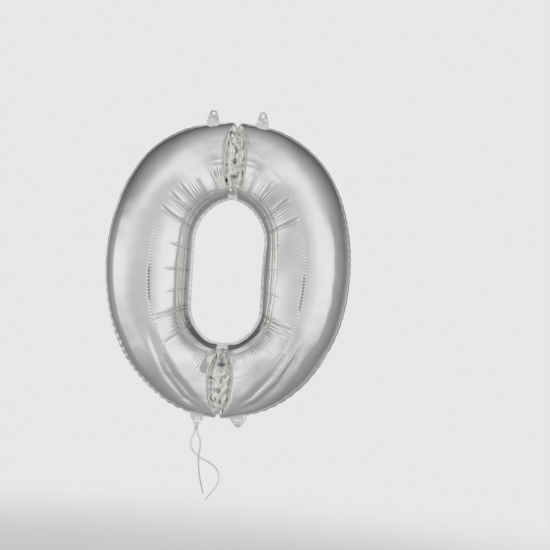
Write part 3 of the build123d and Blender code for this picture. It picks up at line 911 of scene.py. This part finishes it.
# ==== Curling ribbon =============================================================================
# Thin silver-grey ribbon with fine ribs along it, rolled up where it passes through the tab's
# hole, tied in a knot under it, and hanging down in two tails that still hold some of their curl.
ribbon_width, ribbon_thickness, ribbon_bow = 0.005, 0.00028, 0.0004
turn_radius, roll_radius = 0.0056, 0.00115
turn_middle_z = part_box("ribbon_loop")[0][2] + 0.0012 + turn_radius
knot_low, knot_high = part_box("ribbon_knot")
knot_middle = ((knot_low[0] + knot_high[0]) / 2, 0.0, (knot_low[2] + knot_high[2]) / 2)
knot_under = Vector((knot_middle[0], 0.0, knot_low[2]))
ribbon_satin, satin, satin_shader = new_material("ribbon_satin")
satin_place = add_node(satin, "TexCoord").outputs
ribs = add_node(satin, "TexWave", {"Scale": 3.2, "Vector": satin_place["UV"]}, bands_direction="X")
rib_bump = add_node(satin, "Bump", {"Strength": 0.35, "Distance": 0.0002, "Height": ribs.outputs["Fac"]})
satin_cloud = add_node(satin, "TexNoise", {"Scale": 55, "Vector": satin_place["Object"]}).outputs["Fac"]
wire(satin, satin_shader, {
    "Metallic": 0.40,
    "Roughness": 0.34,
    "Base Color": two_tones(satin, satin_cloud, (0.64, 0.64, 0.65), (0.82, 0.82, 0.825)),
    "Normal": rib_bump.outputs["Normal"],
})


def places_of(piece):
    """The places of a mesh's points."""
    places = np.zeros(len(piece.data.vertices) * 3, np.float32)
    piece.data.vertices.foreach_get("co", places)
    return places.reshape(-1, 3).astype(float)


# the turn through the hole: the ribbon rolled up, so its section has uneven flutes
bpy.ops.object.select_all(action="DESELECT")
bpy.ops.mesh.primitive_torus_add(
    major_segments=120, minor_segments=28, major_radius=turn_radius, minor_radius=roll_radius,
    generate_uvs=True,
)
turn = bpy.context.object
turn.name = "ribbon_turn"
x, y, up_core = places_of(turn).T
around_turn = np.arctan2(y, x)
from_core = np.hypot(x, y) - turn_radius
around_roll = np.arctan2(up_core, from_core)
rolled = 1 + 0.20 * np.sin(5 * around_roll + 2.2 * around_turn)
rolled += 0.08 * np.sin(9 * around_roll - 3 * around_turn)
turn_out = turn_radius + from_core * rolled * 0.82
turn_x = knot_middle[0] + up_core * rolled * 1.04
turn_z = turn_middle_z + turn_out * np.sin(around_turn)
place_points(turn, np.stack((turn_x, turn_out * np.cos(around_turn), turn_z), 1))
close_seams(turn_outwards=True)
bpy.ops.object.shade_smooth()
turn.data.materials.append(ribbon_satin)
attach(turn, "ribbon_ring")
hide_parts("ribbon_loop")

# the knot: turns drawn tight over each other round a core, each with its shift, how it is turned
# and flattened, and its radii
bpy.ops.object.select_all(action="DESELECT")
knot_turns = (
    ((0, 0, 0.0008), (0.30, 0.16, 0.0), (1.0, 0.86, 0.95), 0.0037, 0.0019),
    ((0, 0, -0.0013), (-0.26, -0.22, 0.6), (0.92, 1.0, 0.9), 0.0035, 0.0018),
    ((0.0002, 0, -0.0002), (1.45, 0.35, 0.5), (0.72, 0.62, 0.80), 0.0034, 0.0016),
)
knot_parts = []
for shift, turned_by, scale, major, minor in knot_turns:
    bpy.ops.mesh.primitive_torus_add(
        location=Vector(knot_middle) + Vector(shift), rotation=turned_by,
        major_segments=72, minor_segments=24, major_radius=major, minor_radius=minor,
    )
    bpy.context.object.scale = scale
    knot_parts.append(bpy.context.object)
bpy.ops.mesh.primitive_uv_sphere_add(segments=32, ring_count=20, radius=0.0030, location=knot_middle)
knot_parts.append(bpy.context.object)
for part in knot_parts:
    part.select_set(True)
bpy.ops.object.join()
knot = bpy.context.object
knot.name = "ribbon_knot_tied"
bpy.ops.object.transform_apply(location=True, rotation=True, scale=True)
apply_modifier(knot, "REMESH", mode="VOXEL", voxel_size=0.00022)
places = places_of(knot)
offset = places - knot_middle
round_knot = np.arctan2(offset[:, 1], offset[:, 0])
grooved = 0.00012 * np.sin(26 * offset[:, 2] / 0.007 + 1.6 * np.sin(round_knot * 2))
from_middle = np.maximum(np.hypot(offset[:, 0], offset[:, 1]), 1e-5)
places[:, :2] += (grooved / from_middle)[:, None] * offset[:, :2]
place_points(knot, places)
apply_modifier(knot, "SMOOTH", factor=0.5, iterations=3)
bpy.ops.object.shade_smooth()
knot.data.materials.clear()
knot.data.materials.append(ribbon_satin)
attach(knot, "ribbon")
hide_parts("ribbon_knot")


def smooth_line(name, places):
    """Points close together along a smooth line through the air, led by a few places."""
    line_data = bpy.data.curves.new(name, "CURVE")
    line_data.dimensions = "3D"
    line_data.resolution_u = 14
    spline = line_data.splines.new("NURBS")
    spline.points.add(len(places) - 1)
    for point, place in zip(spline.points, places):
        point.co = (*place, 1)
    spline.order_u = 3
    spline.use_endpoint_u = True
    line = bpy.data.objects.new(name, line_data)
    bpy.context.scene.collection.objects.link(line)
    read = bpy.data.meshes.new_from_object(line)
    path = [vertex.co.copy() for vertex in read.vertices]
    bpy.data.objects.remove(line)
    return path


def ribbon_tail(name, node, route, twist):
    """A flat tail: a strip of ribbon that follows a smooth line, turning slowly as it hangs."""
    path = smooth_line(name + "_line", [knot_under + Vector(step) for step in route])
    strips = 4
    points = []
    for number, spot in enumerate(path):
        ahead = path[min(number + 1, len(path) - 1)] - path[max(number - 1, 0)]
        ahead.normalize()
        turned = twist * number / (len(path) - 1)
        facing = Vector((math.sin(turned), math.cos(turned), 0))
        over = ahead.cross(facing).normalized()
        lifted = over.cross(ahead).normalized()
        for strip in range(strips + 1):
            place = strip / strips - 0.5
            bow = ribbon_bow * (1 - 4 * place * place)
            points.append(spot + over * place * ribbon_width + lifted * bow)
    tail = film_grid(name, np.array(points).reshape(len(path), strips + 1, 3))
    thicken(tail, ribbon_thickness)
    tail.data.materials.append(ribbon_satin)
    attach(tail, "ribbon")
    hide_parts(node)


# places on each tail, from the point under the knot
long_tail_route = (
    (-0.0027, 0, 0), (-0.0027, 0, -0.009), (-0.011, -0.002, -0.024), (-0.013, -0.004, -0.042),
    (-0.001, -0.006, -0.062), (0.016, -0.007, -0.074), (0.037, -0.006, -0.083), (0.058, -0.005, -0.096),
    (0.069, -0.004, -0.114), (0.069, -0.004, -0.134), (0.060, -0.003, -0.153), (0.046, -0.002, -0.170),
    (0.037, 0, -0.184),
)
short_tail_route = (
    (0.0027, 0, 0), (0.0027, 0, -0.010), (0.013, 0.002, -0.027), (0.014, 0.004, -0.048),
    (0.011, 0.005, -0.068), (0.012, 0.005, -0.090), (0.015, 0.006, -0.112), (0.019, 0.006, -0.133),
    (0.025, 0.007, -0.153), (0.030, 0.008, -0.170),
)
ribbon_tail("ribbon_tail_long", "ribbon_long_tail", long_tail_route, 0.9)
ribbon_tail("ribbon_tail_short", "ribbon_short_tail", short_tail_route, -1.1)
